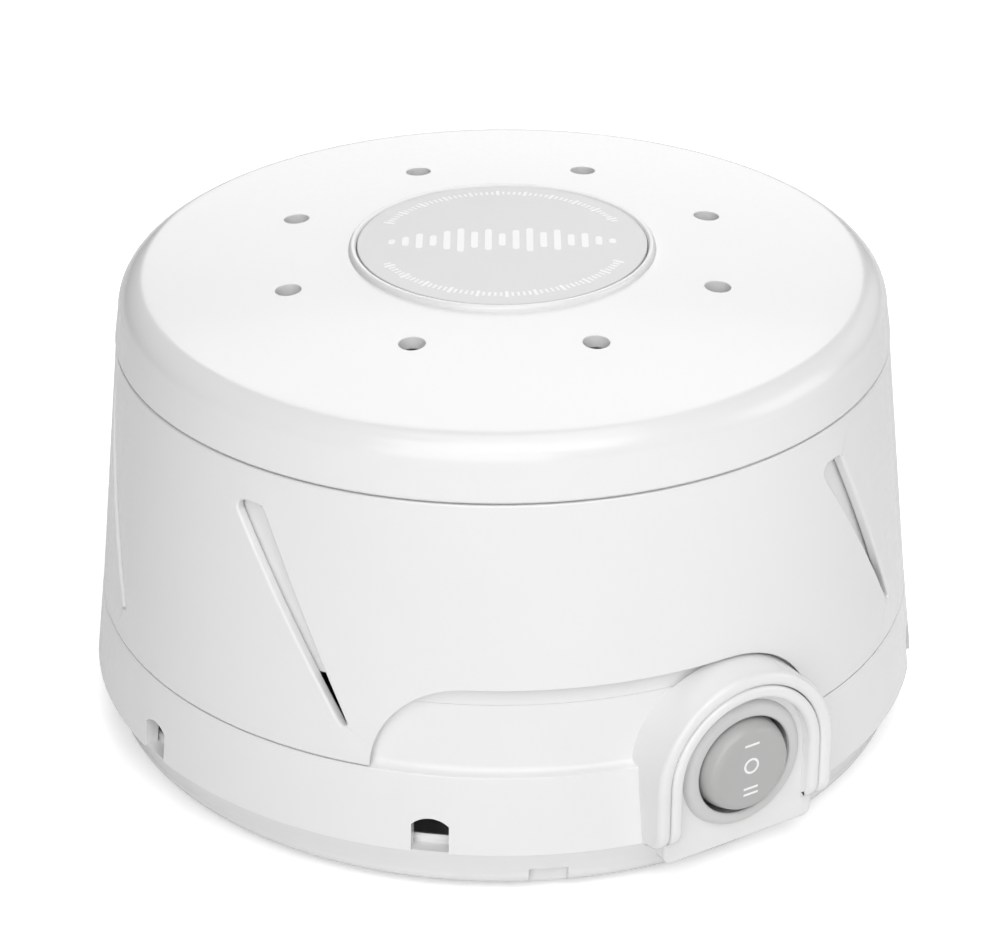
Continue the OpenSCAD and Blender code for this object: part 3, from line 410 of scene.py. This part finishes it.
def add_ring(bm, cv, radius, half_t, place):
    """Thin closed ring about (0, cv)."""
    loops = []
    for side, lift in ((1, INK), (-1, INK), (-1, -INK), (1, -INK)):
        r = radius + side * half_t
        loops.append([bm.verts.new(place(r * math.cos(a), cv + r * math.sin(a), lift))
                      for a in turn_angles(RING_PARTS)])
    for one, two in zip(loops, loops[1:] + loops[:1]):
        for i in range(RING_PARTS):
            j = (i + 1) % RING_PARTS
            bm.faces.new((one[i], one[j], two[j], two[i]))


def finish_piece(name, bm, mat, body):
    mesh = bpy.data.meshes.new(name)
    bmesh.ops.recalc_face_normals(bm, faces=bm.faces)
    bm.to_mesh(mesh)
    bm.free()
    mesh.materials.append(mat)
    piece = add_object(name, mesh)
    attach(piece, body)
    return piece


def on_disc(u, v, lift):
    """Point on the medallion, u to the right and v up as the print is read, in millimetres."""
    p = CAM_TURN @ Vector((u * MM, v * MM, 0))
    p.z = DISC_TOP - (u * u + v * v) * MM * MM / (2 * DOME_R) + lift
    return p


def round_bar(cu, half_w, half_h):
    """Upright bar with round ends about (cu, 0)."""
    pts = []
    straight = half_h - half_w
    for start, sign in ((0, 1), (180, -1)):
        for i in range(BAR_STEPS + 1):
            a = math.radians(start + 180 * i / BAR_STEPS)
            pts.append((cu + half_w * math.cos(a), sign * straight + half_w * math.sin(a)))
    return pts


# Half heights of the bars, in millimetres
WAVE_BARS = (1.0, 1.9, 3.1, 2.2, 3.9, 4.9, 3.4, 4.4, 2.6, 4.0, 4.9, 3.2, 4.3, 2.4, 3.0, 1.8, 1.0)
WAVE_PITCH = 2.35
WAVE_HALF_W = 0.58
bm = bmesh.new()
for i, half_h in enumerate(WAVE_BARS):
    across = (i - (len(WAVE_BARS) - 1) / 2) * WAVE_PITCH
    add_plate(bm, round_bar(across, WAVE_HALF_W, half_h), on_disc)
finish_piece("print_wave", bm, mark_white, "cap")

TICK_R = 21.2
TICK_SPAN = 67
TICK_STEP = 2.6
# Half widths and half lengths, and how often a long one comes
TICK_LONG = (0.27, 1.0)
TICK_SHORT = (0.2, 0.65)
LONG_EVERY = 5


def tick(angle, half_w, half_l):
    """Short stroke that points at the middle of the disc, angle from straight up."""
    a = math.radians(angle)
    out, side = Vector((math.sin(a), math.cos(a))), Vector((math.cos(a), -math.sin(a)))
    corners = ((-half_w, -half_l), (half_w, -half_l), (half_w, half_l), (-half_w, half_l))
    return [tuple(out * (TICK_R + along) + side * across) for across, along in corners]


bm = bmesh.new()
for middle in (0, 180):
    for i in range(int(2 * TICK_SPAN / TICK_STEP) + 1):
        half_w, half_l = TICK_SHORT if i % LONG_EVERY else TICK_LONG
        add_plate(bm, tick(middle - TICK_SPAN + i * TICK_STEP, half_w, half_l), on_disc)
finish_piece("print_ticks", bm, mark_white, "cap")

# ---------------------------------------------------------------- rocker and its marks

ROCKER_FACE_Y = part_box("rocker_button")[0][1]
ROCKER_PIN = next(j for j in frame["record"]["behaviour"]["joints"]
                  if j["name"] == "rocker_tilt")["pos_m"]
# In millimetres
ROCKER_BALL_R = 8.5
ROCKER_FACE_R = 7.1
ROCKER_EDGE_R = 1.5
ROCKER_BACK = 3.6
NECK_R = 2.6
NECK_END = 8.5
# Shares of the face's radius
FACE_RINGS = (0.0, 0.5, 0.8)
EDGE_STEPS = 8
BALL_STEPS = 14
TURN_STEPS = 96


def rocker_profile():
    """Radius and distance in front of the pin, in millimetres, from the face to the neck."""
    face = -ROCKER_FACE_Y / MM + ROCKER_PIN[1] / MM
    pts = [(ROCKER_FACE_R * part, face) for part in FACE_RINGS]
    # Round edge: a circle inside the ball that touches the face
    height = face - ROCKER_EDGE_R
    reach = math.sqrt((ROCKER_BALL_R - ROCKER_EDGE_R) ** 2 - height ** 2)
    ball_angle = math.atan2(height, reach)
    for i in range(EDGE_STEPS + 1):
        a = math.pi / 2 + (ball_angle - math.pi / 2) * i / EDGE_STEPS
        pts.append((reach + ROCKER_EDGE_R * math.cos(a), height + ROCKER_EDGE_R * math.sin(a)))
    back_angle = -math.asin(ROCKER_BACK / ROCKER_BALL_R)
    for i in range(1, BALL_STEPS + 1):
        a = ball_angle + (back_angle - ball_angle) * i / BALL_STEPS
        pts.append((ROCKER_BALL_R * math.cos(a), ROCKER_BALL_R * math.sin(a)))
    return pts + [(NECK_R, -ROCKER_BACK), (NECK_R, -NECK_END), (0.0, -NECK_END)]


def turned_piece(name, profile, mat, body, replaced):
    """Lathe about the axis through the rocker's pin that points at the user."""
    bm = bmesh.new()
    rings = []
    for r, d in profile:
        y = ROCKER_PIN[1] - d * MM
        if r == 0.0:
            rings.append([bm.verts.new((0, y, ROCKER_PIN[2]))] * TURN_STEPS)
            continue
        rings.append([bm.verts.new((r * MM * math.cos(a), y, ROCKER_PIN[2] + r * MM * math.sin(a)))
                      for a in turn_angles(TURN_STEPS)])
    for one, two in zip(rings, rings[1:]):
        for i in range(TURN_STEPS):
            j = (i + 1) % TURN_STEPS
            bm.faces.new(list(dict.fromkeys((one[i], one[j], two[j], two[i]))))
    for face in bm.faces:
        face.smooth = True
    for edge in bm.edges:
        edge.smooth = edge.calc_face_angle(0) < SHARP_ANGLE
    piece = finish_piece(name, bm, mat, body)
    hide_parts(replaced)


turned_piece("rocker_cap", rocker_profile(), rocker_grey, "rocker",
             "rocker_button")

# Heights over the ground, in millimetres: I, the two strokes of II, and O between them
STROKES_V = (25.7, 17.5, 16.4)
RING_V = 21.7
RING_R = 1.25
MARK_HALF_W = 1.4
MARK_HALF_T = 0.2


def on_rocker(u, v, lift):
    """u to the right and v up on the rocker's face, in millimetres."""
    return Vector((u * MM, ROCKER_FACE_Y - lift, v * MM))


def flat_bar(v):
    return [(-MARK_HALF_W, v - MARK_HALF_T), (MARK_HALF_W, v - MARK_HALF_T),
            (MARK_HALF_W, v + MARK_HALF_T), (-MARK_HALF_W, v + MARK_HALF_T)]


bm = bmesh.new()
for height in STROKES_V:
    add_plate(bm, flat_bar(height), on_rocker)
add_ring(bm, RING_V, RING_R, MARK_HALF_T, on_rocker)
finish_piece("switch_marks", bm, mark_white, "rocker")

# ---------------------------------------------------------------- stage

FLOOR_COLOR = (0.9, 0.9, 0.9, 1)
FLOOR_ROUGH = 0.9
FLOOR_HALF = 6.0
# What the camera sees of the floor: its colour in the lamps' light, the strength of its
# glow near the object and far out, and the distances between which the glow grows
SEEN_COLOR = (1, 1, 1, 1)
FLOOR_GLOW = (0.36, 1.0)
FLOOR_FADE = (0.4, 1.5)


def by_ray(nt, unseen, seen, output):
    """What the camera sees directly is one shader, what the rest of the light meets another."""
    rays = nt.nodes.new("ShaderNodeLightPath")
    choice = nt.nodes.new("ShaderNodeMixShader")
    nt.links.new(rays.outputs["Is Camera Ray"], choice.inputs["Fac"])
    nt.links.new(unseen, choice.inputs[1])
    nt.links.new(seen, choice.inputs[2])
    nt.links.new(choice.outputs["Shader"], nt.nodes[output].inputs["Surface"])


def floor_material():
    """Pale floor. The camera sees it with a glow that grows outwards, so it is white
    outside the shadow."""
    mat, nt, plain = tree_of("floor")
    plain.inputs["Base Color"].default_value = FLOOR_COLOR
    plain.inputs["Roughness"].default_value = FLOOR_ROUGH
    matte = nt.nodes.new("ShaderNodeBsdfDiffuse")
    matte.inputs["Color"].default_value = SEEN_COLOR
    glow = nt.nodes.new("ShaderNodeEmission")
    coord = nt.nodes.new("ShaderNodeTexCoord")
    away = nt.nodes.new("ShaderNodeVectorMath")
    away.operation = "LENGTH"
    nt.links.new(coord.outputs["Object"], away.inputs[0])
    strength = ramp(nt, away.outputs["Value"], *FLOOR_GLOW, FLOOR_FADE)
    nt.links.new(strength, glow.inputs["Strength"])
    both = nt.nodes.new("ShaderNodeAddShader")
    nt.links.new(matte.outputs["BSDF"], both.inputs[0])
    nt.links.new(glow.outputs["Emission"], both.inputs[1])
    by_ray(nt, plain.outputs["BSDF"], both.outputs["Shader"], "Material Output")
    return mat


def make_floor():
    mesh = bpy.data.meshes.new("floor")
    corners = [(x * FLOOR_HALF, y * FLOOR_HALF, 0) for x, y in ((-1, -1), (1, -1), (1, 1), (-1, 1))]
    mesh.from_pydata(corners, [], [(0, 1, 2, 3)])
    mesh.materials.append(floor_material())
    floor = add_object("floor", mesh)


make_floor()

AIM = Vector((0, 0, 0.045))
# Name, direction from the camera's side (positive to its right) and height in degrees,
# distance, width and height in metres, and power in watts
SOFTBOXES = (
    ("front_low", -10, 16, 1.5, 1.3, 0.75, 6.7),
    ("front_high", 3, 48, 1.5, 1.6, 0.9, 12.0),
    ("top", 20, 80, 1.3, 0.9, 0.8, 3.9),
    ("right_low", 90, 18, 1.5, 0.9, 0.75, 3.9),
    ("back_right", 135, 16, 1.5, 0.9, 0.75, 1.2),
    ("back_high", 180, 48, 1.5, 0.9, 0.9, 6.1),
    ("back_low", 180, 16, 1.5, 0.9, 0.75, 3.5),
)


def softbox(name, azimuth, elevation, distance, width, height, power):
    """Soft lamp aimed at the object."""
    az, el = math.radians(azimuth), math.radians(elevation)
    flat = distance * math.cos(el)
    out = Vector((flat * math.sin(az), -flat * math.cos(az), distance * math.sin(el)))
    place = AIM + CAM_TURN @ out
    data = bpy.data.lights.new(name, "AREA")
    data.shape = "RECTANGLE"
    data.size = width
    data.size_y = height
    data.energy = power
    lamp = add_object(name, data)
    aim = (AIM - place).to_track_quat("-Z", "Y").to_matrix().to_4x4()
    lamp.matrix_world = Matrix.Translation(place) @ aim
    lamp.visible_camera = False


for row in SOFTBOXES:
    softbox(*row)


def make_world():
    """The world gives no light, but is plain and pale where the camera looks past the floor."""
    world = bpy.data.worlds.new("studio")
    bpy.context.scene.world = world
    world.use_nodes = True
    nt = world.node_tree
    dark = nt.nodes["Background"]
    dark.inputs["Strength"].default_value = 0.0
    pale = nt.nodes.new("ShaderNodeBackground")
    pale.inputs["Strength"].default_value = 1.0
    by_ray(nt, dark.outputs["Background"], pale.outputs["Background"], "World Output")


make_world()

bpy.context.scene.view_settings.view_transform = "Standard"
